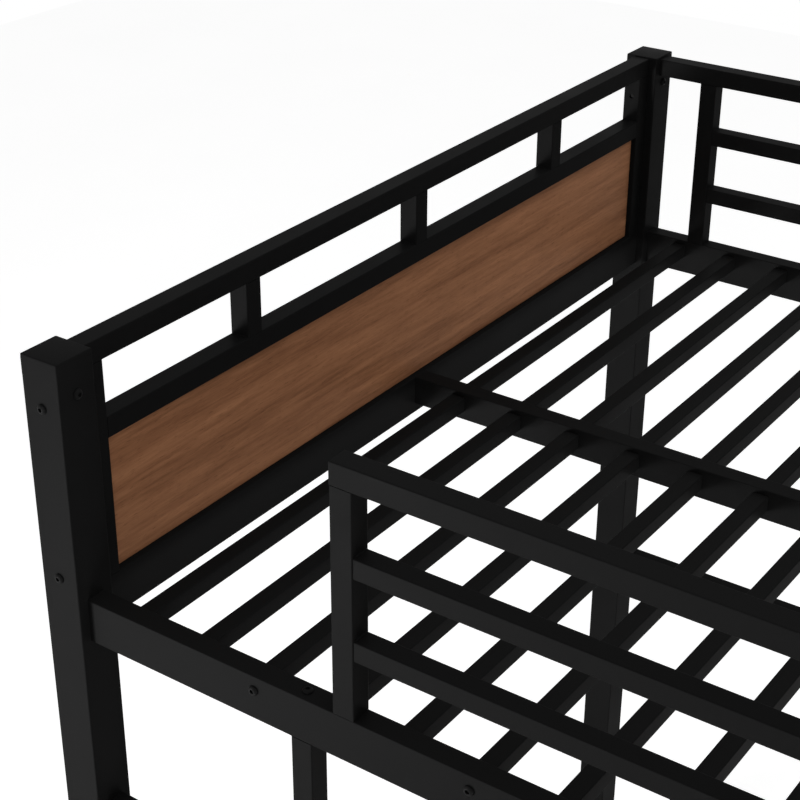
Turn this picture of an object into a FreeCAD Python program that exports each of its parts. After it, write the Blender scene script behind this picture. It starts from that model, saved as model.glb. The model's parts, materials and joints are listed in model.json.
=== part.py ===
"""Loft bed with desk: a welded and bolted frame of square steel tube.

Row frame: millimetres, +Z up, +X from the head end to the foot end, +Y from
the ladder side to the wall side, origin on the floor at the middle of the bed.
"""
import FreeCAD, Part
import math
import os
import re

import Sketcher

V = FreeCAD.Vector
doc = FreeCAD.newDocument("LoftBedWithDesk")
sheet = doc.addObject("Spreadsheet::Sheet", "Sizes")

# Driving dimensions. Every one of them can be changed by itself.
SIZES = {
    # overall
    "bed_height": 1830,          # floor to the top of the post caps
    "gap_length": 1953.2,        # between head posts and foot posts
    "gap_width": 1355.5,         # between ladder side posts and wall side posts
    "deck_drop": 319,            # post top down to the top of the side rails
    # sections
    "post_size": 57,
    "post_corner": 2,
    "tube_size": 28.5,
    "tube_corner": 1.5,
    "tube_wall": 1.2,
    "rail_height": 59.5,
    "beam_height": 44.5,
    "panel_corner": 1,
    "board_corner": 6,
    "slat_size": 23,
    "bar_size": 25.5,
    "cap_height": 4,
    "plug_length": 22,
    # head and foot frames
    "frame_drop": 2.3,           # post top down to the top rail
    "mid_drop": 106,             # post top down to the middle rail
    "spacer_pitch": 376.5,
    "panel_thickness": 12.5,
    "frame_bolt_high": 62.5,     # post top down to the upper frame bolt
    "frame_bolt_low": 290.7,     # post top down to the lower frame bolt
    "tie_bolt_drop": 46.5,       # post top down to the bolt in the post's inner face
    # deck
    "slat_count": 20,
    "slat_end_gap": 62.7,        # post face to the middle of the first slat
    "slat_drop": 8,              # rail top down to the slat tops
    "slats_per_bolt": 3,
    # guards
    "guard_drop": 4,             # post top down to the guard's top rail
    "entry_margin": 59.2,        # ladder stringer to the first front stile, middle to middle
    "guard_offset": 77.5,        # post to the first stile
    "rear_guard_bays": 3,
    "front_guard_bays": 2,
    # ladder
    "ladder_width": 307.3,
    "rung_count": 4,
    "top_step": 311,             # deck top down to the top rung
    # desk
    "desk_height": 750,
    "desk_depth": 560,
    "desk_board": 18,
    "desk_overhang": 20,
    "desk_screw_pitch": 560,
    "stretcher_height": 90,      # floor to the middle of the low stretchers
    "wall_rail_height": 819,     # floor to the middle of the wall side rail
    "desk_low_height": 135,      # floor to the middle of the low desk rails
    # fasteners
    "bolt_size": 8,
    "bolt_head": 13,
    "bolt_head_height": 4,
    "bolt_end": 2,               # bolt tip to the far end of its plug
    "bolt_fit": 0.4,             # hole diameter over bolt diameter
    "rail_bolt_pitch": 30,
    "plug_fit": 0.2,             # gap all round a plug in its tube
    "screw_size": 4,
    "screw_head": 8,
    "screw_bite": 12,            # screw length inside the desk board
}
for row, (alias, value) in enumerate(SIZES.items(), start=1):
    sheet.set(f"A{row}", alias)
    sheet.set(f"B{row}", str(value))
    sheet.setAlias(f"B{row}", alias)
doc.recompute()

# Places worked out from the driving dimensions, as expressions.
PLACES = {
    "post_x": "((gap_length + post_size) / 2)",
    "post_y": "((gap_width + post_size) / 2)",
    "deck_top": "(bed_height - deck_drop)",
    "frame_tube_z": "(bed_height - frame_drop - tube_size / 2)",
    "mid_tube_z": "(bed_height - mid_drop - tube_size / 2)",
    "panel_top": "(bed_height - mid_drop - tube_size)",
    "stile_length": "(deck_drop - frame_drop - tube_size)",
    "spacer_length": "(mid_drop - frame_drop - tube_size)",
    "rail_z": "(deck_top - rail_height / 2)",
    "beam_z": "(deck_top - beam_height / 2)",
    "slat_z": "(deck_top - slat_drop - slat_size / 2)",
    "slat_pitch": "((gap_length - 2 * slat_end_gap) / (slat_count - 1))",
    "slat_length": "(post_y - tube_size)",
    "slat_start": "(-gap_length / 2 + slat_end_gap)",
    "bolted_slats": "floor(slat_count / slats_per_bolt)",
    "bolted_pitch": "(slats_per_bolt * slat_pitch)",
    "bolted_start": "(slat_start + (slats_per_bolt - 1) * slat_pitch)",
    "guard_z": "(bed_height - guard_drop - tube_size / 2)",
    "guard_stile": "(deck_drop - guard_drop - tube_size)",
    "bar_gap": "((guard_stile - 2 * bar_size) / 3)",
    "bar_pitch": "(bar_gap + bar_size)",
    "first_stile": "(-gap_length / 2 + guard_offset + tube_size / 2)",
    "last_stile": "(gap_length / 2 - guard_offset - tube_size / 2)",
    "entry_stile": "(ladder_x + entry_margin)",
    "rear_bay": "((last_stile - first_stile) / rear_guard_bays)",
    "front_bay": "((last_stile - entry_stile) / front_guard_bays)",
    "ladder_x": "(-gap_length / 2 + ladder_width + tube_size / 2)",
    "ladder_post": "(deck_top - rail_height - cap_height)",
    "rung_rise": "((deck_top - top_step) / rung_count)",
    "rung_z": "(rung_rise - tube_size / 2)",
    "desk_under": "(desk_height - desk_board)",
    "desk_rail_z": "(desk_under - tube_size / 2)",
    "desk_leg_x": "(gap_length / 2 - desk_depth + desk_overhang + tube_size / 2)",
    "desk_side": "(gap_length / 2 - desk_leg_x - tube_size / 2)",
    "desk_cross": "(2 * post_y - tube_size)",
    "desk_back_x": "(gap_length / 2 - tube_size / 2)",
    "hole_size": "(bolt_size + bolt_fit)",
    "grip": "(plug_length - bolt_end)",
    "post_back": "(gap_length / 2 + post_size)",
    "post_side": "(gap_width / 2 + post_size)",
    "rail_start": "(-gap_length / 2)",
    "beam_length": "(2 * post_x - tube_size)",
}


def expand(text):
    """Return an expression with every place and size name written out."""
    while True:
        grown = re.sub(r"\b[a-z_]+\b", lambda m: PLACES.get(m.group(0), m.group(0)), text)
        if grown == text:
            break
        text = grown
    return re.sub(r"(?<![\w.])([a-z_]+)\b(?!\()",
                  lambda m: f"Sizes.{m.group(0)}" if m.group(0) in SIZES else m.group(0), text)


def bind(thing, prop, text):
    """Tie a property to an expression of the sheet's sizes."""
    thing.setExpression(prop, expand(str(text)))


def new_body(label, x="0", y="0", z="0"):
    """Start a sub-part whose own origin lies at the given place."""
    body = doc.addObject("PartDesign::Body", label)
    body.Label = label
    body.AllowCompound = True
    for axis, text in zip("xyz", (x, y, z)):
        bind(body, f"Placement.Base.{axis}", text)
    return body


def origin_of(body, role):
    """Return one of the body's own origin planes or axes."""
    return next(feature for feature in body.Origin.OriginFeatures if feature.Role == role)


def new_sketch(body, plane):
    """Attach an empty sketch to one of the body's origin planes."""
    sketch = body.newObject("Sketcher::SketchObject", f"{body.Label}_sketch")
    sketch.AttachmentSupport = [(origin_of(body, plane), "")]
    sketch.MapMode = "FlatFace"
    return sketch


def constrain(sketch, text, *args):
    """Add one dimension and tie it to an expression."""
    index = sketch.addConstraint(Sketcher.Constraint(*args))
    bind(sketch, f"Constraints[{index}]", text)


def round_rectangle(sketch, wide, high, corner, guess):
    """Draw a centred rectangle with round corners; guess is (width, height, radius)."""
    half_w, half_h, radius = guess[0] / 2, guess[1] / 2, guess[2]
    turns = [(1, -1), (1, 1), (-1, 1), (-1, -1)]
    lines, arcs = [], []
    for index, (sx, sy) in enumerate(turns):
        px, py = turns[index - 1]
        start = V(px * half_w, py * half_h)
        end = V(sx * half_w, sy * half_h)
        along = (end - start).normalize() * radius
        lines.append(sketch.addGeometry(Part.LineSegment(start + along, end - along)))
        centre = V(sx * (half_w - radius), sy * (half_h - radius))
        angle = -math.pi / 2 + index * math.pi / 2
        circle = Part.Circle(centre, V(0, 0, 1), radius)
        arcs.append(sketch.addGeometry(Part.ArcOfCircle(circle, angle, angle + math.pi / 2)))
    for index in range(4):
        sketch.addConstraint(Sketcher.Constraint("Tangent", lines[index], 2, arcs[index], 1))
        following = lines[(index + 1) % 4]
        sketch.addConstraint(Sketcher.Constraint("Tangent", arcs[index], 2, following, 1))
        kind = "Horizontal" if index % 2 == 0 else "Vertical"
        sketch.addConstraint(Sketcher.Constraint(kind, lines[index]))
    for arc in arcs[1:]:
        sketch.addConstraint(Sketcher.Constraint("Equal", arcs[0], arc))
    sketch.addConstraint(Sketcher.Constraint("Symmetric", arcs[0], 3, arcs[2], 3, -1, 1))
    constrain(sketch, corner, "Radius", arcs[0], radius)
    constrain(sketch, wide, "DistanceX", lines[3], 1, lines[1], 1, guess[0])
    constrain(sketch, high, "DistanceY", lines[0], 1, lines[2], 1, guess[1])


def value_of(text):
    """Return an expression's present value."""
    return float(sheet.evalExpression(expand(text)))


# Plane that a tube's section lies in, and whether its pad runs against the plane's normal.
SECTION = {"X": ("YZ_Plane", False), "Y": ("XZ_Plane", True), "Z": ("XY_Plane", False)}


def tube(label, axis, length, at, wide="tube_size", high="tube_size",
         corner="tube_corner", wall="tube_wall"):
    """Make a tube along an axis; at is the middle of its first end."""
    body = new_body(label, *at)
    plane, reverse = SECTION[axis]
    sketch = new_sketch(body, plane)
    outer = [value_of(text) for text in (wide, high, corner)]
    round_rectangle(sketch, wide, high, corner, outer)
    if wall:
        inner = [f"({wide} - 2 * {wall})", f"({high} - 2 * {wall})", f"({corner} - {wall})"]
        round_rectangle(sketch, *inner, [value_of(text) for text in inner])
    pad = body.newObject("PartDesign::Pad", f"{label}_pad")
    pad.Profile = sketch
    pad.Reversed = reverse
    bind(pad, "Length", length)
    return body


def repeat(body, *steps, whole=False):
    """Copy the last feature, or all of them, by each step in turn.

    A step is (axis, pitch, count) for a row, or the role of an origin plane for a mirror.
    """
    solids = [thing for thing in body.Group if thing.isDerivedFrom("PartDesign::Feature")]
    copies = []
    for step in steps:
        if isinstance(step, str):
            copy = body.newObject("PartDesign::Mirrored", f"{body.Label}_mirror")
            copy.MirrorPlane = (origin_of(body, step), [""])
        else:
            axis, pitch, count = step
            copy = body.newObject("PartDesign::LinearPattern", f"{body.Label}_row")
            copy.Direction = (origin_of(body, f"{axis}_Axis"), [""])
            copy.Mode = "Spacing"
            bind(copy, "Offset", pitch)
            bind(copy, "Occurrences", count)
        copies.append(copy)
    group = body.newObject("PartDesign::MultiTransform", f"{body.Label}_copies")
    group.Originals = solids if whole else solids[-1:]
    group.Transformations = copies
    body.Tip = group
    return body


def hole(body, plane, places, size="hole_size", depth=None):
    """Cut round holes at right angles to a plane: through the body, or to a depth above it."""
    sketch = new_sketch(body, plane)
    for across, up in places:
        centre = V(value_of(across), value_of(up))
        circle = sketch.addGeometry(Part.Circle(centre, V(0, 0, 1), value_of(size) / 2))
        constrain(sketch, f"{size} / 2", "Radius", circle, value_of(size) / 2)
        place_point(sketch, circle, 3, across, up)
    pocket = body.newObject("PartDesign::Pocket", f"{body.Label}_hole")
    pocket.Profile = sketch
    if depth:
        pocket.Reversed = True
        bind(pocket, "Length", depth)
    else:
        pocket.Type = "ThroughAll"
        pocket.SideType = "Symmetric"
    body.Tip = pocket
    return body


def place_point(sketch, curve, end, across, up):
    """Hold a sketch point at two expressions, measured from the sketch's origin."""
    for kind, text, axis in (("DistanceX", across, -2), ("DistanceY", up, -1)):
        if text == "0":
            sketch.addConstraint(Sketcher.Constraint("PointOnObject", curve, end, axis))
        else:
            constrain(sketch, text, kind, -1, 1, curve, end, value_of(text))


# Plane for a turned profile, its axis, and whether the axis is the sketch's upright one.
TURNED = {"X": ("XZ_Plane", False), "Y": ("YZ_Plane", False), "Z": ("XZ_Plane", True)}


def turned(label, axis, at, profile):
    """Turn a closed profile of (along, radius) points about an axis through at."""
    body = new_body(label, *at)
    plane, upright = TURNED[axis]
    sketch = new_sketch(body, plane)
    corners = [(radius, along) if upright else (along, radius) for along, radius in profile]
    spots = [V(value_of(across), value_of(up)) for across, up in corners]
    count = len(spots)
    lines = [sketch.addGeometry(Part.LineSegment(spots[i], spots[(i + 1) % count]))
             for i in range(count)]
    for i, line in enumerate(lines):
        sketch.addConstraint(Sketcher.Constraint("Coincident", line, 2, lines[(i + 1) % count], 1))
        place_point(sketch, line, 1, *corners[i])
    solid = body.newObject("PartDesign::Revolution", f"{label}_turn")
    solid.Profile = sketch
    solid.ReferenceAxis = (origin_of(body, f"{axis}_Axis"), [""])
    solid.Angle = 360
    return body


def bolt(label, axis, way, at, length, seat="0", shank="bolt_size", head="bolt_head"):
    """Make a domed bolt; its head seats at the distance seat and its shank runs way * axis."""
    sign = "+" if way > 0 else "-"
    tall = "bolt_head_height"
    profile = [(f"({seat} {sign} (0 - {tall}))", "0"),
               (f"({seat} {sign} (0 - {tall}))", f"({head} / 4)"),
               (f"({seat} {sign} (0 - {tall} / 2))", f"({head} / 2)"),
               (seat, f"({head} / 2)"), (seat, f"({shank} / 2)"),
               (f"({seat} {sign} {length})", f"({shank} / 2)"),
               (f"({seat} {sign} {length})", "0")]
    return turned(label, axis, at, profile)


def welded_nut(label, axis, at, seat):
    """Make a round nut that starts at the distance seat and fills a tube's inner width."""
    length = "(tube_size - 2 * tube_wall - plug_fit)"
    profile = [(seat, "(hole_size / 2)"), (seat, "(bolt_head / 2)"),
               (f"({seat} + {length})", "(bolt_head / 2)"),
               (f"({seat} + {length})", "(hole_size / 2)")]
    return turned(label, axis, at, profile)


def plug(label, axis, at, wide="tube_size", high="tube_size"):
    """Make the solid plug that fills a tube's end and takes a bolt along the tube."""
    inner = "- 2 * tube_wall - 2 * plug_fit"
    body = tube(label, axis, "plug_length", at, f"({wide} {inner})", f"({high} {inner})",
                "(tube_corner - tube_wall)", wall=None)
    return body


def cap(label, way, at, size="tube_size", corner="tube_corner"):
    """Make an end cap: a flat head outside the tube and a plug inside it, way * Z."""
    inner = f"({size} - 2 * tube_wall - 2 * plug_fit)"
    body = new_body(label, *at)
    for wide, radius, length, reverse in ((size, corner, "cap_height", way < 0),
                                          (inner, f"({corner} - tube_wall)", "plug_length", way > 0)):
        sketch = new_sketch(body, "XY_Plane")
        round_rectangle(sketch, wide, wide, radius, [value_of(t) for t in (wide, wide, radius)])
        pad = body.newObject("PartDesign::Pad", f"{label}_pad")
        pad.Profile = sketch
        pad.Reversed = reverse
        bind(pad, "Length", length)
    return body


# The two ends and the two sides, with the sign of their place along X or Y.
ENDS = {"head": -1, "foot": 1}
SIDES = {"front": -1, "rear": 1}

# Copies a piece from the ladder side to the wall side, or from the head end to the foot end.
PAIR = ("Y", "(2 * post_y)", "2")
BOTH_ENDS = ("X", "(2 * post_x)", "2")


def signed(sign, text):
    """Return an expression for a place on the given side of the origin."""
    return text if sign > 0 else f"(-{text})"


def make_posts():
    """Corner posts with their bolt holes, caps on top and glides below."""
    tie = "(bed_height - tie_bolt_drop - cap_height)"
    for end, ex in ENDS.items():
        for side, sy in SIDES.items():
            at = (signed(ex, "post_x"), signed(sy, "post_y"), "cap_height")
            body = tube(f"post_{side}_{end}", "Z", "(bed_height - 2 * cap_height)", at,
                        "post_size", "post_size", "post_corner")
            hole(body, "XZ_Plane", [("0", f"(bed_height - {drop} - cap_height)")
                                    for drop in ("frame_bolt_high", "frame_bolt_low")]
                 + [("0", "(stretcher_height - cap_height)")])
            levels = [f"(rail_z {shift} rail_bolt_pitch / 2 - cap_height)" for shift in "-+"]
            levels.append(tie)
            if end == "foot":
                levels += ["(desk_rail_z - cap_height)", "(desk_low_height - cap_height)"]
            if side == "rear":
                levels.append("(wall_rail_height - cap_height)")
            hole(body, "YZ_Plane", [("0", level) for level in levels])
            if (side, end) == ("front", "head"):
                hole(body, "YZ_Plane", [("0", "(rung_z - cap_height)")])
                repeat(body, ("Z", "rung_rise", "rung_count"))
    corner = ("(-post_x)", "(-post_y)")
    for label, way, level in (("post_caps", 1, "(bed_height - cap_height)"),
                              ("post_glides", -1, "cap_height")):
        repeat(cap(label, way, (*corner, level), "post_size", "post_corner"),
               BOTH_ENDS, PAIR, whole=True)


def make_tie_bolts():
    """One bolt near the top of each post, with its head on the post's inner face."""
    at = ("0", "(-post_y)", "(bed_height - tie_bolt_drop)")
    repeat(bolt("tie_bolts", "X", -1, at, "(post_size - bolt_end)", "(-gap_length / 2)"),
           PAIR, "YZ_Plane")


def make_end_frames():
    """Welded frame between the two posts of each end, with its wooden panel."""
    x = "(-post_x)"
    start = "(-gap_width / 2)"
    inside = "(gap_width - 2 * tube_size)"
    between = "(-gap_width / 2 + tube_size)"
    repeat(tube("end_top_rails", "Y", "gap_width", (x, start, "frame_tube_z")), BOTH_ENDS)
    repeat(tube("end_mid_rails", "Y", inside, (x, between, "mid_tube_z")), BOTH_ENDS)
    lower = tube("end_lower_rails", "Y", "gap_width", (x, start, "rail_z"), high="rail_height")
    hole(lower, "YZ_Plane", [("(gap_width / 2)", "(beam_z - rail_z)")])
    repeat(lower, BOTH_ENDS, whole=True)
    stiles = tube("end_stiles", "Z", "stile_length",
                  (x, "(-gap_width / 2 + tube_size / 2)", "deck_top"))
    hole(stiles, "XZ_Plane", [("0", f"(deck_drop - {drop})")
                              for drop in ("frame_bolt_high", "frame_bolt_low")])
    repeat(stiles, BOTH_ENDS, ("Y", "(gap_width - tube_size)", "2"), whole=True)
    spacers = tube("end_spacers", "Z", "spacer_length",
                   (x, "(-spacer_pitch)", "(bed_height - mid_drop)"))
    repeat(spacers, BOTH_ENDS, ("Y", "spacer_pitch", "3"))
    for end, ex in ENDS.items():
        tube(f"{end}board_panel", "Z", "(panel_top - deck_top)", (signed(ex, "post_x"), "0", "deck_top"),
             "panel_thickness", inside, "panel_corner", wall=None)


def make_frame_bolts():
    """Bolts through the posts into nuts inside the stiles of both end frames."""
    at = ("(-post_x)", "0", "(bed_height - frame_bolt_low)")
    steps = (BOTH_ENDS, ("Z", "(frame_bolt_low - frame_bolt_high)", "2"), "XZ_Plane")
    length = "(post_size + tube_size - tube_wall - bolt_end)"
    repeat(bolt("frame_bolts", "Y", 1, at, length, "(-post_side)"), *steps)
    repeat(welded_nut("frame_nuts", "Y", at, "(tube_wall - gap_width / 2)"), *steps)


def make_deck():
    """Side rails, centre beam, slats and the bolts that hold them."""
    row = ("X", "bolted_pitch", "bolted_slats")
    for side, sy in SIDES.items():
        y = signed(sy, "post_y")
        rail = tube(f"side_rail_{side}", "X", "gap_length", ("rail_start", y, "rail_z"),
                    high="rail_height")
        hole(rail, "XZ_Plane", [("(bolted_start - rail_start)", "(slat_z - rail_z)")])
        repeat(rail, row)
        upright = ["entry_stile", "last_stile", "ladder_x"] if sy < 0 else ["first_stile", "last_stile"]
        hole(rail, "XY_Plane", [(f"({place} - rail_start)", "0") for place in upright])
        first = "(-post_y + tube_size / 2)" if sy < 0 else "(tube_size / 2)"
        slats = tube(f"slats_{side}", "Y", "slat_length", ("slat_start", first, "slat_z"),
                     "slat_size", "slat_size")
        repeat(slats, ("X", "slat_pitch", "slat_count"))
    repeat(bolt("slat_bolts", "Y", 1, ("bolted_start", "0", "slat_z"), "(tube_size + grip)",
                "(-post_y - tube_size / 2)"), row, "XZ_Plane")
    nuts = plug("slat_plugs", "Y", ("bolted_start", "(-post_y + tube_size / 2)", "slat_z"),
                "slat_size", "slat_size")
    hole(nuts, "XZ_Plane", [("0", "0")])
    repeat(nuts, row, ("Y", "(desk_cross - plug_length)", "2"), whole=True)
    rise = ("Z", "rail_bolt_pitch", "2")
    repeat(bolt("rail_bolts", "X", 1, ("0", "(-post_y)", "(rail_z - rail_bolt_pitch / 2)"),
                "(post_size + grip)", "(-post_back)"), PAIR, rise, "YZ_Plane")
    nuts = plug("rail_plugs", "X", ("rail_start", "(-post_y)", "rail_z"), high="rail_height")
    hole(nuts, "YZ_Plane", [("0", f"({shift}rail_bolt_pitch / 2)") for shift in ("-", "")])
    repeat(nuts, PAIR, ("X", "(gap_length - plug_length)", "2"), whole=True)
    tube("centre_beam", "X", "beam_length", ("(-beam_length / 2)", "0", "beam_z"), high="beam_height")
    repeat(bolt("beam_bolts", "X", 1, ("0", "0", "beam_z"), "(tube_size + grip)",
                "(-post_x - tube_size / 2)"), "YZ_Plane")
    nuts = plug("beam_plugs", "X", ("(-beam_length / 2)", "0", "beam_z"), high="beam_height")
    hole(nuts, "YZ_Plane", [("0", "0")])
    repeat(nuts, ("X", "(beam_length - plug_length)", "2"), whole=True)


def make_guard(side, first, pitch, bays):
    """Guard frame that stands on a side rail: top rail, stiles, two rows of bars."""
    y = signed(SIDES[side], "post_y")
    top_start = f"({first} - tube_size / 2)" if side == "front" else "rail_start"
    tube(f"{side}_guard_top_rail", "X", f"(gap_length / 2 - {top_start})", (top_start, y, "guard_z"))
    repeat(tube(f"{side}_guard_stiles", "Z", "guard_stile", (first, y, "deck_top")),
           ("X", pitch, f"({bays} + 1)"))
    bars = tube(f"{side}_guard_bars", "X", f"({pitch} - tube_size)",
                (f"({first} + tube_size / 2)", y, "(deck_top + bar_gap + bar_size / 2)"),
                "bar_size", "bar_size")
    repeat(bars, ("X", pitch, bays), ("Z", "bar_pitch", "2"))
    span = ("X", f"(last_stile - {first})", "2")
    repeat(bolt(f"{side}_guard_bolts", "Z", 1, (first, y, "(deck_top - rail_height)"),
                "(rail_height + grip)"), span)
    nuts = plug(f"{side}_guard_plugs", "Z", (first, y, "deck_top"))
    hole(nuts, "XY_Plane", [("0", "0")])
    repeat(nuts, span, whole=True)


def make_ladder():
    """Ladder at the entry: one stringer under the side rail, rungs to the post."""
    tube("ladder_stringer", "Z", "ladder_post", ("ladder_x", "(-post_y)", "cap_height"))
    cap("ladder_glide", -1, ("ladder_x", "(-post_y)", "cap_height"))
    bolt("stringer_bolt", "Z", -1, ("ladder_x", "(-post_y)", "deck_top"), "(rail_height + grip)")
    nut = plug("stringer_plug", "Z", ("ladder_x", "(-post_y)", "(deck_top - rail_height - plug_length)"))
    hole(nut, "XY_Plane", [("0", "0")])
    rise = ("Z", "rung_rise", "rung_count")
    repeat(tube("ladder_rungs", "X", "ladder_width", ("rail_start", "(-post_y)", "rung_z")), rise)
    repeat(bolt("rung_bolts", "X", 1, ("(-post_back)", "(-post_y)", "rung_z"), "(post_size + grip)"),
           rise)
    nuts = plug("rung_plugs", "X", ("rail_start", "(-post_y)", "rung_z"))
    hole(nuts, "YZ_Plane", [("0", "0")])
    repeat(nuts, rise, whole=True)


def make_desk():
    """Desk across the foot end: legs, frame and board, bolted to the foot posts."""
    legs = tube("desk_legs", "Z", "(desk_under - cap_height)", ("desk_leg_x", "(-post_y)", "cap_height"))
    repeat(legs, PAIR)
    repeat(cap("desk_glides", -1, ("desk_leg_x", "(-post_y)", "cap_height")), PAIR, whole=True)
    rise = ("Z", "(desk_rail_z - desk_low_height)", "2")
    side_start = "(desk_leg_x + tube_size / 2)"
    repeat(tube("desk_side_rails", "X", "desk_side", (side_start, "(-post_y)", "desk_low_height")),
           PAIR, rise)
    screws = [("0", f"(desk_cross / 2 {shift})")
              for shift in ("- desk_screw_pitch", "+ 0", "+ desk_screw_pitch")]
    rails = tube("desk_cross_rails", "Y", "desk_cross", ("desk_leg_x", "(-desk_cross / 2)", "desk_rail_z"))
    hole(rails, "XY_Plane", screws, "(screw_size + bolt_fit)")
    across = ("X", "(desk_back_x - desk_leg_x)", "2")
    repeat(rails, across, whole=True)
    board_x = "(gap_length / 2 - desk_depth / 2)"
    board = tube("desk_top", "Z", "desk_board", (board_x, "0", "desk_under"), "desk_depth",
                 "(gap_width + 2 * post_size)", "board_corner", wall=None)
    bores = [(f"({x} - {board_x})", y) for x in ("desk_leg_x", "desk_back_x")
             for y in ("(-desk_screw_pitch)", "0", "desk_screw_pitch")]
    hole(board, "XY_Plane", bores, "(screw_size + bolt_fit)", depth="(screw_bite + bolt_fit)")
    corner = ("desk_leg_x", "(-desk_screw_pitch)", "(desk_under - tube_size)")
    repeat(bolt("desk_screws", "Z", 1, corner, "(tube_size + screw_bite)", shank="screw_size",
                head="screw_head"), across, ("Y", "desk_screw_pitch", "3"))
    repeat(bolt("desk_bolts", "X", -1, ("post_back", "(-post_y)", "desk_low_height"),
                "(post_size + grip)"), PAIR, rise)
    nuts = plug("desk_plugs", "X", ("(gap_length / 2 - plug_length)", "(-post_y)", "desk_low_height"))
    hole(nuts, "YZ_Plane", [("0", "0")])
    repeat(nuts, PAIR, rise, whole=True)


def make_stretchers():
    """Low tubes between the posts of each end, with the bolts that hold them."""
    at = ("(-post_x)", "(-gap_width / 2)", "stretcher_height")
    repeat(tube("low_stretchers", "Y", "gap_width", at), BOTH_ENDS)
    repeat(bolt("stretcher_bolts", "Y", 1, ("(-post_x)", "0", "stretcher_height"),
                "(post_size + grip)", "(-post_side)"), BOTH_ENDS, "XZ_Plane")
    nuts = plug("stretcher_plugs", "Y", at)
    hole(nuts, "XZ_Plane", [("0", "0")])
    repeat(nuts, BOTH_ENDS, ("Y", "(gap_width - plug_length)", "2"), whole=True)


def make_wall_rail():
    """Rail between the two wall side posts, above the desk, with its bolts."""
    at = ("rail_start", "post_y", "wall_rail_height")
    tube("wall_rail", "X", "gap_length", at)
    repeat(bolt("wall_rail_bolts", "X", 1, ("0", "post_y", "wall_rail_height"),
                "(post_size + grip)", "(-post_back)"), "YZ_Plane")
    nuts = plug("wall_rail_plugs", "X", at)
    hole(nuts, "YZ_Plane", [("0", "0")])
    repeat(nuts, ("X", "(gap_length - plug_length)", "2"), whole=True)


def export_parts():
    """Check every object and write one STEP file for each body."""
    doc.recompute()
    for thing in doc.Objects:
        if "Invalid" in thing.State or "Error" in thing.State:
            raise RuntimeError(f"{thing.Label}: {thing.State}")
    bodies = [thing for thing in doc.Objects if thing.TypeId == "PartDesign::Body"]
    for body in bodies:
        if body.Shape.isNull() or not body.Shape.isValid() or not body.Shape.Solids:
            raise RuntimeError(f"{body.Label}: no valid shape")
    os.makedirs("parts", exist_ok=True)
    for body in bodies:
        body.Shape.exportStep(f"parts/{body.Label}.step")
        print(body.Label, len(body.Shape.Solids))


make_posts()
make_tie_bolts()
make_end_frames()
make_frame_bolts()
make_deck()
make_guard("front", "entry_stile", "front_bay", "front_guard_bays")
make_guard("rear", "first_stile", "rear_bay", "rear_guard_bays")
make_ladder()
make_desk()
make_stretchers()
make_wall_rail()
export_parts()
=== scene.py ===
"""Looks of a full size loft bed with desk: finishes, hardware, boards, welds, light and camera."""
import json
import logging
import math
from dataclasses import dataclass, field
from enum import Enum
from typing import Any

import bpy
import numpy as np
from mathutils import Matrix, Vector


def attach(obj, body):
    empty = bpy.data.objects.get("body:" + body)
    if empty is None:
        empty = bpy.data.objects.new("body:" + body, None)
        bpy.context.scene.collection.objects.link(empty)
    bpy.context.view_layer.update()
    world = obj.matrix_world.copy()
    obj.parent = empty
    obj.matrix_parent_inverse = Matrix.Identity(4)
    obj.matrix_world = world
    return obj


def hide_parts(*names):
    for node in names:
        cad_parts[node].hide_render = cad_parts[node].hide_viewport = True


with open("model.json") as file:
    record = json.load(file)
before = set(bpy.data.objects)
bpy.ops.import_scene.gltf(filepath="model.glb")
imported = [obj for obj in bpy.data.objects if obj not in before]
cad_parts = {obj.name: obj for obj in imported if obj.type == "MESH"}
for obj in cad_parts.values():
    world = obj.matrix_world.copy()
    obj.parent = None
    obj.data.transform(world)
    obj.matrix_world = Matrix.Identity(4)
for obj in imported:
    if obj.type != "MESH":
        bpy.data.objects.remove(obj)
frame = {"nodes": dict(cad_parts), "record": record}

log = logging.getLogger("loft_bed")
MM = 0.001
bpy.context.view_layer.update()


class Axis(Enum):
    """A row axis; the value is its index in a point."""

    X = 0
    Y = 1
    Z = 2


class Side(Enum):
    """A long side of the bed, as its nodes are named."""

    FRONT = "front"
    REAR = "rear"


class End(Enum):
    """A short end of the bed, as its nodes are named."""

    HEAD = "head"
    FOOT = "foot"


# ---------------------------------------------------------------- reading the frame


@dataclass(frozen=True)
class Solid:
    """One separate solid of a frame node.

    Attributes:
        points: its vertices, one row each, in metres.
    """

    points: np.ndarray

    @property
    def low(self) -> np.ndarray:
        """Lowest corner."""
        return self.points.min(axis=0)

    @property
    def high(self) -> np.ndarray:
        """Highest corner."""
        return self.points.max(axis=0)

    @property
    def middle(self) -> np.ndarray:
        """Middle of the box."""
        return (self.low + self.high) / 2

    @property
    def size(self) -> np.ndarray:
        """Lengths of the box."""
        return self.high - self.low


def solids_of(node: str) -> list[Solid]:
    """Part a node's mesh into its solids.

    Equal corners count as one point. Every point starts with its own number, each triangle
    gives its three points the least number among them, and that repeats until nothing
    changes, so that one number is left for each solid.

    Args:
        node: the node's name.

    Returns:
        The solids, in order of their first vertex.
    """
    mesh = frame["nodes"][node].data
    points = np.empty(3 * len(mesh.vertices))
    mesh.vertices.foreach_get("co", points)
    points = points.reshape(-1, 3)
    loops = np.empty(len(mesh.loops), dtype=np.int64)
    mesh.loops.foreach_get("vertex_index", loops)
    keys = np.unique(np.round(points / (0.01 * MM)).astype(np.int64), axis=0, return_inverse=True)
    same = keys[1].ravel()
    corners = same[loops].reshape(-1, 3)
    label = np.arange(len(keys[0]))
    while True:
        least = label.copy()
        np.minimum.at(least, corners.ravel(), np.repeat(label[corners].min(axis=1), 3))
        least = least[least]
        if np.array_equal(least, label):
            break
        label = least
    owner = label[same]
    return [Solid(points[owner == number]) for number in np.unique(owner)]


# ---------------------------------------------------------------- making meshes


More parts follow.
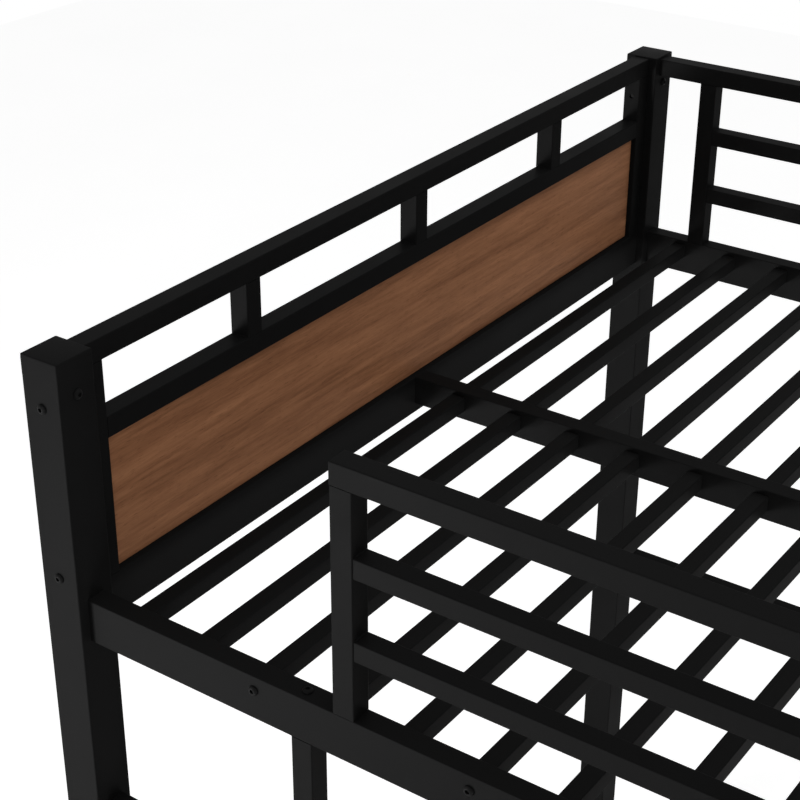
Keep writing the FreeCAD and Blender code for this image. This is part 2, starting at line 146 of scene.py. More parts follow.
@dataclass
class Shell:
    """Closed surfaces gathered into one mesh.

    Attributes:
        points: blocks of vertices.
        faces: corner numbers of each face.
        count: vertices so far.
    """

    points: list[np.ndarray] = field(default_factory=list)
    faces: list[list[int]] = field(default_factory=list)
    count: int = 0

    def loft(self, rings: np.ndarray, closed: bool = False) -> None:
        """Add a skin over a stack of closed rings.

        Face (i, j) joins points j and j + 1 of ring i to the same points of ring i + 1, where
        j + 1 wraps round. Rings that run anticlockwise seen from the far end face outwards.

        Args:
            rings: an array of ring, point and coordinate.
            closed: whether the last ring joins the first; if not, each end gets a flat face.
        """
        levels, around = rings.shape[:2]
        ring, spot = np.meshgrid(np.arange(levels - 1 + closed), np.arange(around), indexing="ij")
        beside = (spot + 1) % around
        here = self.count + ring * around
        above = self.count + (ring + 1) % levels * around
        quads = np.stack([here + spot, here + beside, above + beside, above + spot], axis=-1)
        self.faces += quads.reshape(-1, 4).tolist()
        if not closed:
            first = np.arange(around)
            self.faces.append((self.count + first[::-1]).tolist())
            self.faces.append((self.count + (levels - 1) * around + first).tolist())
        self.points.append(rings.reshape(-1, 3))
        self.count += levels * around

    def make(self, name: str, material: bpy.types.Material, crease: float = 32) -> bpy.types.Object:
        """Turn the gathered surfaces into an object that rides on the bed.

        Args:
            name: the piece's name.
            material: its finish.
            crease: degrees between faces above which an edge stays sharp.

        Returns:
            The object, at the origin and unturned.
        """
        mesh = bpy.data.meshes.new(name)
        mesh.from_pydata(np.concatenate(self.points).tolist(), [], self.faces)
        mesh.materials.append(material)
        mesh.shade_smooth()
        mesh.set_sharp_from_angle(angle=math.radians(crease))
        piece = bpy.data.objects.new(name, mesh)
        bpy.context.scene.collection.objects.link(piece)
        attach(piece, "root")
        return piece


def placed(flat: np.ndarray, height: np.ndarray, axis: Axis, origin: np.ndarray) -> np.ndarray:
    """Stand flat rings up along an axis.

    Ring coordinates (a, b) go to the two axes after the given one in the order X, Y, Z, X, so
    anticlockwise stays anticlockwise, and the height goes along the given axis.

    Args:
        flat: an array of ring, point and the two flat coordinates.
        height: one number for each ring.
        axis: the axis that the rings are stacked along.
        origin: the point that (0, 0) at height 0 goes to.

    Returns:
        An array of ring, point and coordinate.
    """
    rings = np.empty(flat.shape[:2] + (3,))
    rings[..., axis.value] = height[:, None]
    rings[..., (axis.value + 1) % 3] = flat[..., 0]
    rings[..., (axis.value + 2) % 3] = flat[..., 1]
    return rings + origin


def outline(half_a: np.ndarray, half_b: np.ndarray, corner: np.ndarray, steps: int = 5) -> np.ndarray:
    """Rounded rectangles, one for each entry of the arguments.

    A point is its quarter's arc centre, which is a corner radius inside the rectangle's corner,
    plus the radius times (cos t, sin t) with t running through that quarter.

    Args:
        half_a: half lengths along the first flat axis.
        half_b: half lengths along the second flat axis.
        corner: corner radii.
        steps: steps in each quarter turn.

    Returns:
        An array of ring, point and the two flat coordinates.
    """
    quarter = np.repeat(np.arange(4), steps + 1)
    turn = (quarter + np.tile(np.linspace(0, 1, steps + 1), 4)) * math.pi / 2
    sign_a = np.array([1, -1, -1, 1])[quarter]
    sign_b = np.array([1, 1, -1, -1])[quarter]
    a = (half_a - corner)[:, None] * sign_a + corner[:, None] * np.cos(turn)
    b = (half_b - corner)[:, None] * sign_b + corner[:, None] * np.sin(turn)
    return np.stack([a, b], axis=-1)


def pillow(solid: Solid, axis: Axis, corner: float, ease_low: float, ease_high: float,
           inset: float = 0.0, steps: int = 5) -> np.ndarray:
    """A block with eased edges at both ends of an axis.

    Going up the axis, the outline first grows by ease (1 - cos t) along a quarter round, stands
    straight, and shrinks again along the other quarter round.

    Args:
        solid: the space that the block fills.
        axis: the axis between the two eased faces.
        corner: radius of the four edges along the axis.
        ease_low: radius of the edges of the low face.
        ease_high: radius of the edges of the high face.
        inset: gap left all round the outline.
        steps: steps in each quarter round.

    Returns:
        Rings for Shell.loft.
    """
    turn = np.linspace(0, math.pi / 2, steps + 1)
    length = solid.size[axis.value]
    height = np.concatenate([ease_low * (1 - np.sin(turn[::-1])), length - ease_high * (1 - np.sin(turn))])
    shrink = np.concatenate([ease_low * (1 - np.cos(turn[::-1])), ease_high * (1 - np.cos(turn))])
    half = solid.size / 2 - inset
    half_a = half[(axis.value + 1) % 3] - shrink
    half_b = half[(axis.value + 2) % 3] - shrink
    origin = solid.middle.copy()
    origin[axis.value] = solid.low[axis.value]
    return placed(outline(half_a, half_b, np.maximum(corner - shrink, 0.2 * MM)), height, axis, origin)


# ---------------------------------------------------------------- finishes


def linear(code: str) -> tuple[float, float, float, float]:
    """Turn an sRGB hex colour into the linear one that shaders take."""
    parts = [int(code[i:i + 2], 16) / 255 for i in (1, 3, 5)]
    return (*[p / 12.92 if p <= 0.04045 else ((p + 0.055) / 1.055) ** 2.4 for p in parts], 1.0)


def add_node(tree: bpy.types.NodeTree, kind: str, settings: dict[str, Any] | None = None,
             values: dict[Any, Any] | None = None, links: dict[Any, Any] | None = None) -> bpy.types.Node:
    """Add a shader node.

    Args:
        tree: the node tree.
        kind: the node's type name.
        settings: its properties.
        values: fixed values of its inputs, by name or number.
        links: outputs of other nodes that feed its inputs, by name or number.

    Returns:
        The node.
    """
    made = tree.nodes.new(kind)
    for key, value in (settings or {}).items():
        setattr(made, key, value)
    for key, value in (values or {}).items():
        made.inputs[key].default_value = value
    for key, source in (links or {}).items():
        tree.links.new(source, made.inputs[key])
    return made


def blank(name: str) -> tuple[bpy.types.Material, bpy.types.NodeTree]:
    """Make a material with an empty node tree."""
    material = bpy.data.materials.new(name)
    material.use_nodes = True
    material.node_tree.nodes.clear()
    return material, material.node_tree


@dataclass(frozen=True)
class PowderCoat:
    """Satin black polyester powder, sprayed on steel tube and baked.

    The powder flows into a faint orange peel, some 2.5 mm from crest to crest, and the film
    builds a little unevenly, so that its sheen wanders over a hand's width.
    """

    name: str = "powder_coated_steel"
    colour: str = "#141414"
    thin: str = "#181818"
    roughness: tuple[float, float] = (0.40, 0.52)
    specular: float = 0.006
    peel: float = 2.5 * MM
    depth: float = 0.05 * MM
    drift: float = 90 * MM

    def build(self) -> bpy.types.Material:
        """Build the material."""
        material, tree = blank(self.name)
        place = add_node(tree, "ShaderNodeTexCoord").outputs["Object"]
        drift = add_node(tree, "ShaderNodeTexNoise", values={"Scale": 1 / self.drift, "Detail": 3},
                         links={"Vector": place})
        peel = add_node(tree, "ShaderNodeTexNoise", values={"Scale": 1 / self.peel, "Detail": 2},
                        links={"Vector": place})
        sheen = add_node(tree, "ShaderNodeMapRange",
                         values={"From Min": 0.3, "From Max": 0.7,
                                 "To Min": self.roughness[0], "To Max": self.roughness[1]},
                         links={"Value": drift.outputs["Fac"]})
        tone = add_node(tree, "ShaderNodeMix", {"data_type": "RGBA"},
                        {6: linear(self.colour), 7: linear(self.thin)}, {0: drift.outputs["Fac"]})
        bump = add_node(tree, "ShaderNodeBump", values={"Strength": 0.5, "Distance": self.depth},
                        links={"Height": peel.outputs["Fac"]})
        coat = add_node(tree, "ShaderNodeBsdfPrincipled", values={"Specular IOR Level": self.specular},
                        links={"Base Color": tone.outputs[2], "Roughness": sheen.outputs["Result"],
                               "Normal": bump.outputs["Normal"]})
        add_node(tree, "ShaderNodeOutputMaterial", links={"Surface": coat.outputs["BSDF"]})
        return material


@dataclass(frozen=True)
class MouldedPlastic:
    """Black polyethylene, injection moulded in a spark-eroded tool.

    The tool leaves a fine matt grain, about 0.8 mm, and feet scuff paler near the floor.
    """

    name: str = "moulded_polyethylene"
    colour: str = "#161616"
    scuff: str = "#262627"
    roughness: float = 0.58
    specular: float = 0.02
    grain: float = 0.8 * MM

    def build(self) -> bpy.types.Material:
        """Build the material."""
        material, tree = blank(self.name)
        place = add_node(tree, "ShaderNodeTexCoord").outputs["Object"]
        grain = add_node(tree, "ShaderNodeTexNoise", values={"Scale": 1 / self.grain, "Detail": 1},
                         links={"Vector": place})
        height = add_node(tree, "ShaderNodeSeparateXYZ", links={"Vector": place})
        scuffs = add_node(tree, "ShaderNodeTexNoise", values={"Scale": 160, "Detail": 5, "Roughness": 0.7},
                          links={"Vector": place})
        low = add_node(tree, "ShaderNodeMapRange",
                       values={"From Min": 4 * MM, "From Max": 0.0, "To Min": 0.0, "To Max": 1.0},
                       links={"Value": height.outputs["Z"]})
        worn = add_node(tree, "ShaderNodeMath", {"operation": "MULTIPLY"},
                        links={0: low.outputs["Result"], 1: scuffs.outputs["Fac"]})
        tone = add_node(tree, "ShaderNodeMix", {"data_type": "RGBA"},
                        {6: linear(self.colour), 7: linear(self.scuff)}, {0: worn.outputs[0]})
        bump = add_node(tree, "ShaderNodeBump", values={"Strength": 0.4, "Distance": 0.05 * MM},
                        links={"Height": grain.outputs["Fac"]})
        body = add_node(tree, "ShaderNodeBsdfPrincipled",
                        values={"Roughness": self.roughness, "Specular IOR Level": self.specular},
                        links={"Base Color": tone.outputs[2], "Normal": bump.outputs["Normal"]})
        add_node(tree, "ShaderNodeOutputMaterial", links={"Surface": body.outputs["BSDF"]})
        return material


@dataclass(frozen=True)
class BlackOxide:
    """Steel bolts blackened in a hot salt bath and oiled.

    The skin is a thin dark oxide: nearly black, a touch glossier than the coat around it, and
    rubbed in fine patches where the key has turned.
    """

    name: str = "black_oxide_steel"
    colour: str = "#171717"
    rubbed: str = "#222222"
    roughness: tuple[float, float] = (0.3, 0.42)
    specular: float = 0.015

    def build(self) -> bpy.types.Material:
        """Build the material."""
        material, tree = blank(self.name)
        place = add_node(tree, "ShaderNodeTexCoord").outputs["Object"]
        patch = add_node(tree, "ShaderNodeTexNoise", values={"Scale": 1 / (3 * MM), "Detail": 4, "Roughness": 0.7},
                         links={"Vector": place})
        sheen = add_node(tree, "ShaderNodeMapRange",
                         values={"From Min": 0.35, "From Max": 0.65,
                                 "To Min": self.roughness[0], "To Max": self.roughness[1]},
                         links={"Value": patch.outputs["Fac"]})
        worn = add_node(tree, "ShaderNodeMapRange", values={"From Min": 0.5, "From Max": 0.75},
                        links={"Value": patch.outputs["Fac"]})
        tone = add_node(tree, "ShaderNodeMix", {"data_type": "RGBA"},
                        {6: linear(self.colour), 7: linear(self.rubbed)}, {0: worn.outputs["Result"]})
        body = add_node(tree, "ShaderNodeBsdfPrincipled", values={"Specular IOR Level": self.specular},
                        links={"Base Color": tone.outputs[2], "Roughness": sheen.outputs["Result"]})
        add_node(tree, "ShaderNodeOutputMaterial", links={"Surface": body.outputs["BSDF"]})
        return material


@dataclass(frozen=True)
class WalnutFoil:
    """Particle board under a walnut melamine foil, grain along the bed's width.

    Broad growth bands some 30 mm wide wander along the board, finer streaks lie inside them,
    and short dark pores, drawn 1 mm wide so that they show, dent the satin surface.
    """

    name: str = "walnut_melamine_board"
    light: str = "#b57f5b"
    dark: str = "#83583d"
    pore: str = "#4e3423"
    roughness: float = 0.5
    specular: float = 0.03
    band: float = 30 * MM
    streak: float = 5 * MM
    pore_width: float = 1.0 * MM
    stretch: float = 0.06

    def build(self) -> bpy.types.Material:
        """Build the material."""
        material, tree = blank(self.name)
        place = add_node(tree, "ShaderNodeTexCoord").outputs["Object"]
        along = add_node(tree, "ShaderNodeMapping", values={"Scale": (1, self.stretch, 1)}, links={"Vector": place})
        drawn = along.outputs["Vector"]
        band = add_node(tree, "ShaderNodeTexNoise",
                        values={"Scale": 1 / self.band, "Detail": 3, "Roughness": 0.5, "Distortion": 0.7},
                        links={"Vector": drawn})
        streak = add_node(tree, "ShaderNodeTexNoise",
                          values={"Scale": 1 / self.streak, "Detail": 6, "Roughness": 0.65, "Distortion": 0.3},
                          links={"Vector": drawn})
        pores = add_node(tree, "ShaderNodeTexNoise",
                         values={"Scale": 1 / self.pore_width, "Detail": 2, "Roughness": 0.6},
                         links={"Vector": drawn})
        both = add_node(tree, "ShaderNodeMix", {"data_type": "FLOAT"}, {0: 0.5},
                        {2: band.outputs["Fac"], 3: streak.outputs["Fac"]})
        figure = add_node(tree, "ShaderNodeMapRange", values={"From Min": 0.34, "From Max": 0.66},
                          links={"Value": both.outputs[0]})
        wood = add_node(tree, "ShaderNodeMix", {"data_type": "RGBA"},
                        {6: linear(self.dark), 7: linear(self.light)}, {0: figure.outputs["Result"]})
        pit = add_node(tree, "ShaderNodeMapRange",
                       values={"From Min": 0.6, "From Max": 0.72, "To Min": 0.0, "To Max": 0.55},
                       links={"Value": pores.outputs["Fac"]})
        tone = add_node(tree, "ShaderNodeMix", {"data_type": "RGBA"}, {7: linear(self.pore)},
                        {0: pit.outputs["Result"], 6: wood.outputs[2]})
        bump = add_node(tree, "ShaderNodeBump", {"invert": True}, {"Strength": 0.35, "Distance": 0.12 * MM},
                        {"Height": pit.outputs["Result"]})
        foil = add_node(tree, "ShaderNodeBsdfPrincipled",
                        values={"Roughness": self.roughness, "Specular IOR Level": self.specular},
                        links={"Base Color": tone.outputs[2], "Normal": bump.outputs["Normal"]})
        add_node(tree, "ShaderNodeOutputMaterial", links={"Surface": foil.outputs["BSDF"]})
        return material


@dataclass(frozen=True)
class EdgeTape:
    """Walnut coloured ABS edge tape, rolled on hot and trimmed flush.

    It is printed with straight fine streaks some 2 mm wide along the edge, a shade darker than
    the foil, and it is a little glossier where the scraper passed.
    """

    name: str = "walnut_abs_edge_tape"
    light: str = "#8a6044"
    dark: str = "#6b462f"
    roughness: float = 0.42
    specular: float = 0.03
    streak: float = 2 * MM

    def build(self) -> bpy.types.Material:
        """Build the material."""
        material, tree = blank(self.name)
        place = add_node(tree, "ShaderNodeTexCoord").outputs["Object"]
        drawn = add_node(tree, "ShaderNodeMapping", values={"Scale": (0.05, 0.05, 1)}, links={"Vector": place})
        streak = add_node(tree, "ShaderNodeTexNoise", values={"Scale": 1 / self.streak, "Detail": 3},
                          links={"Vector": drawn.outputs["Vector"]})
        tone = add_node(tree, "ShaderNodeMix", {"data_type": "RGBA"},
                        {6: linear(self.dark), 7: linear(self.light)}, {0: streak.outputs["Fac"]})
        bump = add_node(tree, "ShaderNodeBump", values={"Strength": 0.2, "Distance": 0.05 * MM},
                        links={"Height": streak.outputs["Fac"]})
        tape = add_node(tree, "ShaderNodeBsdfPrincipled",
                        values={"Roughness": self.roughness, "Specular IOR Level": self.specular},
                        links={"Base Color": tone.outputs[2], "Normal": bump.outputs["Normal"]})
        add_node(tree, "ShaderNodeOutputMaterial", links={"Surface": tape.outputs["BSDF"]})
        return material


@dataclass
class Finishes:
    """The bed's finishes: one for each material slot of the record, and the desk's edge tape."""

    steel: bpy.types.Material = field(default_factory=lambda: PowderCoat().build())
    plastic: bpy.types.Material = field(default_factory=lambda: MouldedPlastic().build())
    fastener: bpy.types.Material = field(default_factory=lambda: BlackOxide().build())
    board: bpy.types.Material = field(default_factory=lambda: WalnutFoil().build())
    tape: bpy.types.Material = field(default_factory=lambda: EdgeTape().build())

    def dress_frame(self) -> int:
        """Give every frame node the finish of its slot.

        Returns:
            How many nodes were dressed.
        """
        by_slot = {"black_steel": self.steel, "black_plastic": self.plastic,
                   "black_fastener": self.fastener, "walnut_board": self.board}
        dressed = 0
        for entry in frame["record"]["subparts"]:
            node = frame["nodes"][entry["node"]]
            if not node.material_slots:
                node.data.materials.append(None)
            for slot in node.material_slots:
                slot.material = by_slot[entry["material_slot"]]
            dressed += 1
        return dressed


# ---------------------------------------------------------------- hardware


@dataclass
class ButtonBolts:
    """Button head bolts with a hexagon socket, standing for a frame node's bolts.

    Attributes:
        node: the frame node.
        socket: the socket's width across flats, as a share of the head's diameter.
        rim: height of the straight rim under the dome, as a share of the head's height.
        around: points round the head.
    """

    node: str
    socket: float = 0.4
    rim: float = 0.16
    around: int = 36

    def head_of(self, solid: Solid) -> tuple[Axis, float, float, float, float]:
        """Find a bolt's head in its vertices.

        The head is where the vertices lie farthest from the centre line, and the shank's
        radius is that of the other end.

        Args:
            solid: the bolt.

        Returns:
            Its axis, the direction towards the head, the head's radius and height, and the
            shank's radius.
        """
        axis = Axis(int(np.argmax(solid.size)))
        run = solid.points[:, axis.value]
        radius = np.linalg.norm(np.delete(solid.points - solid.middle, axis.value, axis=1), axis=1)
        wide = run[radius > 0.95 * radius.max()]
        low, high = solid.low[axis.value], solid.high[axis.value]
        if wide.mean() > solid.middle[axis.value]:
            return axis, 1.0, radius.max(), high - wide.min(), radius[run < low + 0.2 * MM].max()
        return axis, -1.0, radius.max(), wide.max() - low, radius[run > high - 0.2 * MM].max()

    def rings(self, solid: Solid) -> np.ndarray:
        """Rings of one bolt, from its tip to the bottom of its socket.

        The shank is a straight cylinder. The dome's radius is R cos t and its height H sin t.
        The socket's radius at angle a is its half width over cos of the angle to the nearest
        flat's middle, which is a hexagon.

        Args:
            solid: the bolt.

        Returns:
            Rings for Shell.loft.
        """
        axis, way, head, height, shank = self.head_of(solid)
        length = solid.size[axis.value]
        turn = np.linspace(0, 2 * math.pi, self.around, endpoint=False)
        flat = self.socket * head
        hexagon = flat / np.cos((turn + math.pi / 6) % (math.pi / 3) - math.pi / 6)
        dome = np.linspace(0, math.acos(min(1.0, 1.3 * flat / head)), 8)
        body = length - height
        lift = height * (self.rim + (1 - self.rim) * np.sin(dome) / math.sin(dome[-1]))
        radii = [shank, shank, head - 0.3 * MM, head, *(head * np.cos(dome))]
        levels = [0, body, body, body + 0.3 * MM, *(body + lift)]
        circle = np.ones(self.around)
        radius = np.array([r * circle for r in radii] + [hexagon, hexagon * 0.96])
        level = np.array(levels + [length - 0.1 * MM, length - 0.62 * height])
        side = np.stack([radius * np.cos(turn), radius * np.sin(turn)], axis=-1)
        origin = solid.middle.copy()
        origin[axis.value] = solid.low[axis.value] if way > 0 else solid.high[axis.value]
        if way < 0:
            side = side[:, ::-1]
        return placed(side, way * level, axis, origin)

    def build(self, material: bpy.types.Material) -> bpy.types.Object:
        """Build every bolt of the node as one piece."""
        shell = Shell()
        for solid in solids_of(self.node):
            shell.loft(self.rings(solid))
        piece = shell.make(f"{self.node}_button", material)
        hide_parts(self.node)
        return piece


@dataclass
class Welds:
    """Fillet welds in the corners where tubes meet at a right angle.

    Attributes:
        name: the piece's name.
        leg: radius of the bead.
        ripple: distance between the ripples that the torch leaves.
        shell: the beads so far.
    """

    name: str
    leg: float = 1.6 * MM
    ripple: float = 3.2 * MM
    shell: Shell = field(default_factory=Shell)

    def bead(self, start: np.ndarray, run: Axis, length: float) -> None:
        """Add a bead along an axis.

        Its radius is leg (1 - s^8)^(1/2) (1 + 0.1 cos(2 pi x / ripple)), where s runs from -1 to
        1 and x is the distance along the bead.

        Args:
            start: the bead's first point.
            run: the axis that it runs along.
            length: its length.
        """
        share = np.linspace(-1, 1, 25)
        along = (share + 1) / 2 * length
        thick = self.leg * np.sqrt(1.02 - share ** 8) * (1 + 0.1 * np.cos(2 * math.pi * along / self.ripple))
        turn = np.linspace(0, 2 * math.pi, 8, endpoint=False)
        flat = thick[:, None, None] * np.stack([np.cos(turn), np.sin(turn)], axis=-1)
        self.shell.loft(placed(flat, along, run, start))

    def join(self, node: str, tube: Axis, rail: Axis, low: bool = True, high: bool = True,
             inner: bool = False) -> None:
        """Weld the ends of a node's tubes to the rails that they meet.

        Args:
            node: the node whose tubes end there.
            tube: the axis that they run along.
            rail: the axis of the rails that they end on.
            low: whether the low ends are welded.
            high: whether the high ends are welded.
            inner: whether only the face towards the middle of the bed is welded.
        """
        run = ({Axis.X, Axis.Y, Axis.Z} - {tube, rail}).pop()
        margin = 1.5 * MM
        for solid in solids_of(node):
            ends = [solid.low[tube.value]] * low + [solid.high[tube.value]] * high
            faces = [solid.low[rail.value], solid.high[rail.value]]
            if inner:
                faces = [min(faces, key=abs)]
            for end in ends:
                for face in faces:
                    start = solid.low.copy()
                    start[tube.value], start[rail.value] = end, face
                    start[run.value] += margin
                    self.bead(start, run, solid.size[run.value] - 2 * margin)

    def build(self, material: bpy.types.Material) -> bpy.types.Object:
        """Make the piece, coated as the tubes are."""
        piece = self.shell.make(self.name, material, 60)
        return piece


@dataclass
class MouldedBlocks:
    """Rounded caps or glides with their plugs, standing for a frame node's plain ones.

    Attributes:
        node: the frame node.
        corner: radius of the upright edges.
        ease: radius of the edges of the outer face.
        top: whether the plate is at the top of a tube, as a cap's is.
        slot: the record's material slot; not used.
    """

    node: str
    corner: float
    ease: float
    top: bool
    slot: str

    def parts_of(self, solid: Solid) -> tuple[Solid, Solid]:
        """Part a block into its plate and its plug.

        The plate's vertices lie on the block's own outline, and the plug's lie inside it.

        Args:
            solid: the block.

        Returns:
            The plate and the plug.
        """
        across = np.abs(solid.points - solid.middle)[:, :2].max(axis=1)
        outer = across > solid.size[0] / 2 - 0.3 * MM
        level = solid.points[outer, 2].min() if self.top else solid.points[outer, 2].max()
        inner = solid.points[~outer & (solid.points[:, 2] <= level if self.top else solid.points[:, 2] >= level)]
        return Solid(solid.points[outer]), Solid(inner)

    def build(self, material: bpy.types.Material) -> bpy.types.Object:
        """Build every block of the node as one piece."""
        shell = Shell()
        for solid in solids_of(self.node):
            plate, plug = self.parts_of(solid)
            low, high = (0.1 * MM, self.ease) if self.top else (self.ease, 0.1 * MM)
            shell.loft(pillow(plate, Axis.Z, self.corner, low, high))
            shell.loft(pillow(plug, Axis.Z, 0.6 * MM, 0.4 * MM, 0.4 * MM))
        piece = shell.make(f"{self.node}_moulded", material, 40)
        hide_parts(self.node)
        return piece


@dataclass
class FacedBoard:
    """A foil faced board with eased edges, a hair smaller than its opening.

    Attributes:
        node: the frame node.
        face: the axis that its face looks along.
        corner: radius of its four corners.
        ease: radius of its edges.
        gap: gap all round it.
        top_gap: further gap over it, to the rail above.
        tape: thickness of the edge tape round it, or 0 for none.
    """

    node: str
    face: Axis
    corner: float = 2 * MM
    ease: float = 1.2 * MM
    gap: float = 0.9 * MM
    top_gap: float = 0.0
    tape: float = 0.0

    def space(self) -> Solid:
        """Space that the board and its tape fill."""
        solid = solids_of(self.node)[0]
        return Solid(np.array([solid.low, solid.high - [0, 0, self.top_gap]]))

    def build(self, material: bpy.types.Material) -> bpy.types.Object:
        """Build the board."""
        shell = Shell()
        ease = 0.3 * MM if self.tape else self.ease
        shell.loft(pillow(self.space(), self.face, self.corner, ease, ease, self.gap + self.tape))
        piece = shell.make(f"{self.node}_board", material, 30)
        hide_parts(self.node)
        return piece

    def build_tape(self, material: bpy.types.Material) -> bpy.types.Object:
        """Build the tape round the edge.

        Its section goes up the outside, round both eased edges, and down the inside, against
        the board: the outer offset at height h is the pillow's, and the inner one is the tape's
        thickness.

        Args:
            material: the tape's finish.

        Returns:
            The tape.
        """
        outer = pillow(self.space(), self.face, self.corner, self.ease, self.ease, self.gap)
        inner = pillow(self.space(), self.face, self.corner, 0.3 * MM, 0.3 * MM, self.gap + self.tape)
        skirt = outer[1:-1]
        shell = Shell()
        shell.loft(np.concatenate([skirt, inner[::-1]]), closed=True)
        piece = shell.make(f"{self.node}_edge_tape", material, 40)
        return piece


# ---------------------------------------------------------------- sub-assemblies


@dataclass
class Posts:
    """Four square posts, capped at the top, with glides under them."""

    corner: float = 2 * MM
    cap_ease: float = 1.6 * MM
    glide_ease: float = 1.6 * MM

    def build(self, finishes: Finishes) -> list[bpy.types.Object]:
        """Build the caps, glides and the bolts in the posts."""
        caps = MouldedBlocks("post_caps", self.corner, self.cap_ease, True, "black_steel")
        glides = MouldedBlocks("post_glides", self.corner, self.glide_ease, False, "black_plastic")
        return [caps.build(finishes.steel), glides.build(finishes.plastic),
                ButtonBolts("tie_bolts").build(finishes.fastener),
                ButtonBolts("frame_bolts").build(finishes.fastener)]


@dataclass
class EndFrames:
    """The welded frames between the posts of each end, with their boards."""

    shadow_gap: float = 3 * MM

    def build(self, finishes: Finishes) -> list[bpy.types.Object]:
        """Build the boards and the welds."""
        welds = Welds("end_frame_welds")
        welds.join("end_stiles", Axis.Z, Axis.Y, inner=True)
        welds.join("end_spacers", Axis.Z, Axis.Y)
        boards = [FacedBoard(f"{end.value}board_panel", Axis.X, top_gap=self.shadow_gap) for end in End]
        return [board.build(finishes.board) for board in boards] + [welds.build(finishes.steel)]


@dataclass
class Deck:
    """Side rails, centre beam and slats."""

    def build(self, finishes: Finishes) -> list[bpy.types.Object]:
        """Build the bolts that hold the slats, rails and beam."""
        return [ButtonBolts(node).build(finishes.fastener)
                for node in ("slat_bolts", "rail_bolts", "beam_bolts")]


@dataclass
class Guard:
    """A guard rail: a top rail on stiles, with bars between them."""

    side: Side

    def build(self, finishes: Finishes) -> list[bpy.types.Object]:
        """Build the welds and the bolts."""
        name = f"{self.side.value}_guard"
        welds = Welds(f"{name}_welds")
        welds.join(f"{name}_stiles", Axis.Z, Axis.X, low=False)
        welds.join(f"{name}_bars", Axis.X, Axis.Z)
        return [welds.build(finishes.steel), ButtonBolts(f"{name}_bolts").build(finishes.fastener)]


@dataclass
class Ladder:
    """The ladder's stringer, rungs and glide."""

    def build(self, finishes: Finishes) -> list[bpy.types.Object]:
        """Build the glide and the bolts."""
        glide = MouldedBlocks("ladder_glide", 1.5 * MM, 1.5 * MM, False, "black_plastic")
        return [glide.build(finishes.plastic), ButtonBolts("stringer_bolt").build(finishes.fastener),
                ButtonBolts("rung_bolts").build(finishes.fastener)]


@dataclass
class Desk:
    """The desk at the foot end, with the low stretchers and the wall side rail."""

    def build(self, finishes: Finishes) -> list[bpy.types.Object]:
        """Build the board, glides, welds and bolts."""
        welds = Welds("desk_welds")
        welds.join("desk_cross_rails", Axis.Y, Axis.Z)
        board = FacedBoard("desk_top", Axis.Z, 6 * MM, 1.5 * MM, gap=0.0, tape=1 * MM)
        glides = MouldedBlocks("desk_glides", 1.5 * MM, 1.5 * MM, False, "black_plastic")
        pieces = [board.build(finishes.board), board.build_tape(finishes.tape),
                  glides.build(finishes.plastic), welds.build(finishes.steel)]
        pieces.append(ButtonBolts("desk_screws").build(finishes.fastener))
        pieces += [ButtonBolts(node).build(finishes.fastener) for node in ("desk_bolts", "stretcher_bolts", "wall_rail_bolts")]
        return pieces


# ---------------------------------------------------------------- studio


@dataclass(frozen=True)
class Lamp:
    """A soft square lamp.

    Attributes:
        name: its name.
        place: where it hangs, in metres.
        aim: the point that it looks at.
        size: its side.
        power: its power in watts.
    """

    name: str
    place: tuple[float, float, float]
    aim: tuple[float, float, float]
    size: float
    power: float

    def build(self) -> None:
        """Hang the lamp."""
        data = bpy.data.lights.new(self.name, "AREA")
        data.size = self.size
        data.energy = self.power
        lamp = bpy.data.objects.new(self.name, data)
        lamp.location = self.place
        lamp.rotation_euler = (Vector(self.aim) - Vector(self.place)).to_track_quat("-Z", "Y").to_euler()
        bpy.context.scene.collection.objects.link(lamp)


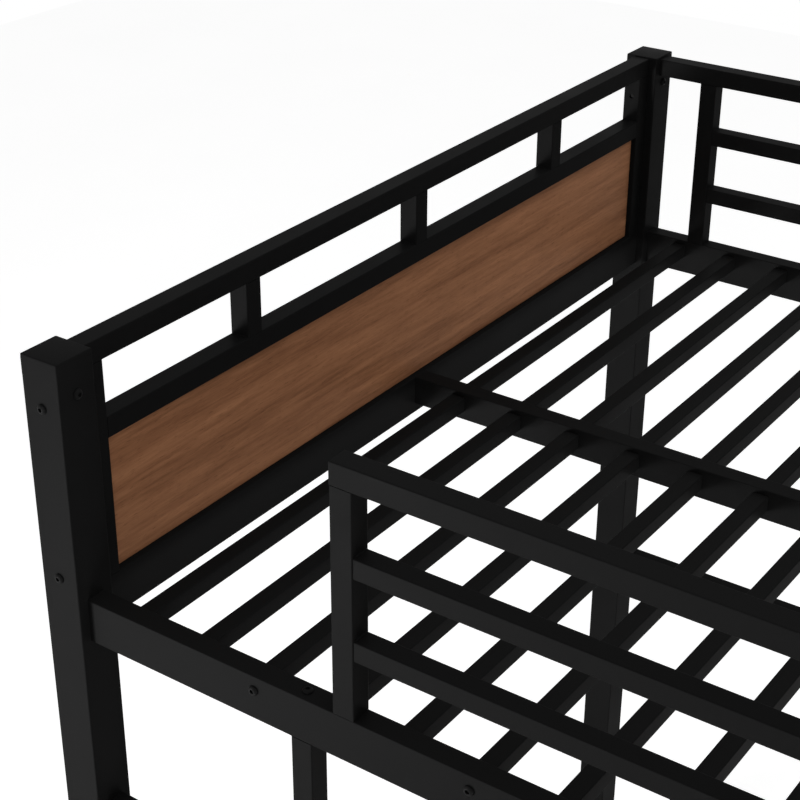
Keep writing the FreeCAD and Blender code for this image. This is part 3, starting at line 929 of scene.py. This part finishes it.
@dataclass(frozen=True)
class Studio:
    """A white room with soft lamps, a floor and a camera."""

    fill: float = 0.5
    floor_glow: float = 0.5
    floor_size: float = 14.0
    camera_place: tuple[float, float, float] = (0.3151, -1.9130, 2.6953)
    camera_view: tuple[float, float, float] = (-0.5164, 0.7222, -0.4601)
    lens: float = 78.195
    shift: tuple[float, float] = (0.0164, -0.0213)
    lamps: tuple[Lamp, ...] = (
        Lamp("key", (-2.3, -3.1, 0.4), (-0.3, 0.0, 1.45), 0.8, 122),
        Lamp("low_right", (3.0, -0.9, 0.2), (-0.8, 0.1, 1.2), 1.2, 78),
        Lamp("top", (0.0, 0.0, 4.6), (0.0, 0.0, 0.0), 3.0, 25),
    )

    def seen(self, tree: bpy.types.NodeTree) -> Any:
        """Tell whether a ray comes from the camera, a reflection or a glass.

        Args:
            tree: the node tree.

        Returns:
            An output that is 1 for such a ray and 0 for others.
        """
        path = add_node(tree, "ShaderNodeLightPath")
        gloss = add_node(tree, "ShaderNodeMath", {"operation": "MAXIMUM"},
                         links={0: path.outputs["Is Camera Ray"], 1: path.outputs["Is Glossy Ray"]})
        glass = add_node(tree, "ShaderNodeMath", {"operation": "MAXIMUM"},
                         links={0: gloss.outputs[0], 1: path.outputs["Is Transmission Ray"]})
        return glass.outputs[0]

    def build_world(self) -> None:
        """Light from all round, and white where it is seen."""
        world = bpy.data.worlds.new("white_room")
        world.use_nodes = True
        tree = world.node_tree
        tree.nodes.clear()
        dim = add_node(tree, "ShaderNodeBackground", values={"Color": (1, 1, 1, 1), "Strength": self.fill})
        white = add_node(tree, "ShaderNodeBackground", values={"Color": (1, 1, 1, 1), "Strength": 1.0})
        mix = add_node(tree, "ShaderNodeMixShader",
                       links={0: self.seen(tree), 1: dim.outputs[0], 2: white.outputs[0]})
        add_node(tree, "ShaderNodeOutputWorld", links={"Surface": mix.outputs[0]})
        bpy.context.scene.world = world

    def build_floor(self) -> None:
        """Lay the floor: matt white paint that glows a little where it is seen."""
        material, tree = blank("floor_paint")
        place = add_node(tree, "ShaderNodeTexCoord").outputs["Object"]
        mottle = add_node(tree, "ShaderNodeTexNoise", values={"Scale": 2, "Detail": 2}, links={"Vector": place})
        tone = add_node(tree, "ShaderNodeMix", {"data_type": "RGBA"},
                        {6: linear("#f4f4f4"), 7: linear("#f8f8f8")}, {0: mottle.outputs["Fac"]})
        paint = add_node(tree, "ShaderNodeBsdfDiffuse", links={"Color": tone.outputs[2]})
        glow = add_node(tree, "ShaderNodeMath", {"operation": "MULTIPLY"}, {1: self.floor_glow}, {0: self.seen(tree)})
        light = add_node(tree, "ShaderNodeEmission", values={"Color": (1, 1, 1, 1)},
                         links={"Strength": glow.outputs[0]})
        both = add_node(tree, "ShaderNodeAddShader", links={0: paint.outputs[0], 1: light.outputs[0]})
        add_node(tree, "ShaderNodeOutputMaterial", links={"Surface": both.outputs[0]})
        half = self.floor_size / 2
        mesh = bpy.data.meshes.new("floor")
        mesh.from_pydata([(-half, -half, 0), (half, -half, 0), (half, half, 0), (-half, half, 0)], [], [(0, 1, 2, 3)])
        mesh.materials.append(material)
        floor = bpy.data.objects.new("floor", mesh)
        bpy.context.scene.collection.objects.link(floor)

    def build_camera(self) -> None:
        """Set up the camera."""
        data = bpy.data.cameras.new("camera")
        data.sensor_width = 36
        data.lens = self.lens
        data.shift_x, data.shift_y = self.shift
        camera = bpy.data.objects.new("camera", data)
        camera.location = self.camera_place
        camera.rotation_euler = Vector(self.camera_view).to_track_quat("-Z", "Y").to_euler()
        bpy.context.scene.collection.objects.link(camera)
        bpy.context.scene.camera = camera

    def build(self) -> None:
        """Build the whole studio."""
        self.build_world()
        self.build_floor()
        self.build_camera()
        for lamp in self.lamps:
            lamp.build()
        bpy.context.scene.view_settings.view_transform = "Standard"


def main() -> None:
    """Build the bed's looks in order, and log how many faces each piece has."""
    logging.basicConfig(level=logging.INFO, format="%(message)s")
    finishes = Finishes()
    log.info("%d frame nodes dressed", finishes.dress_frame())
    assemblies = [Posts(), EndFrames(), Deck(), Guard(Side.FRONT), Guard(Side.REAR),
                  Ladder(), Desk()]
    for assembly in assemblies:
        for piece in assembly.build(finishes):
            log.info("%s: %s, %d faces", type(assembly).__name__, piece.name, len(piece.data.polygons))
    Studio().build()


if __name__ == "__main__":
    main()
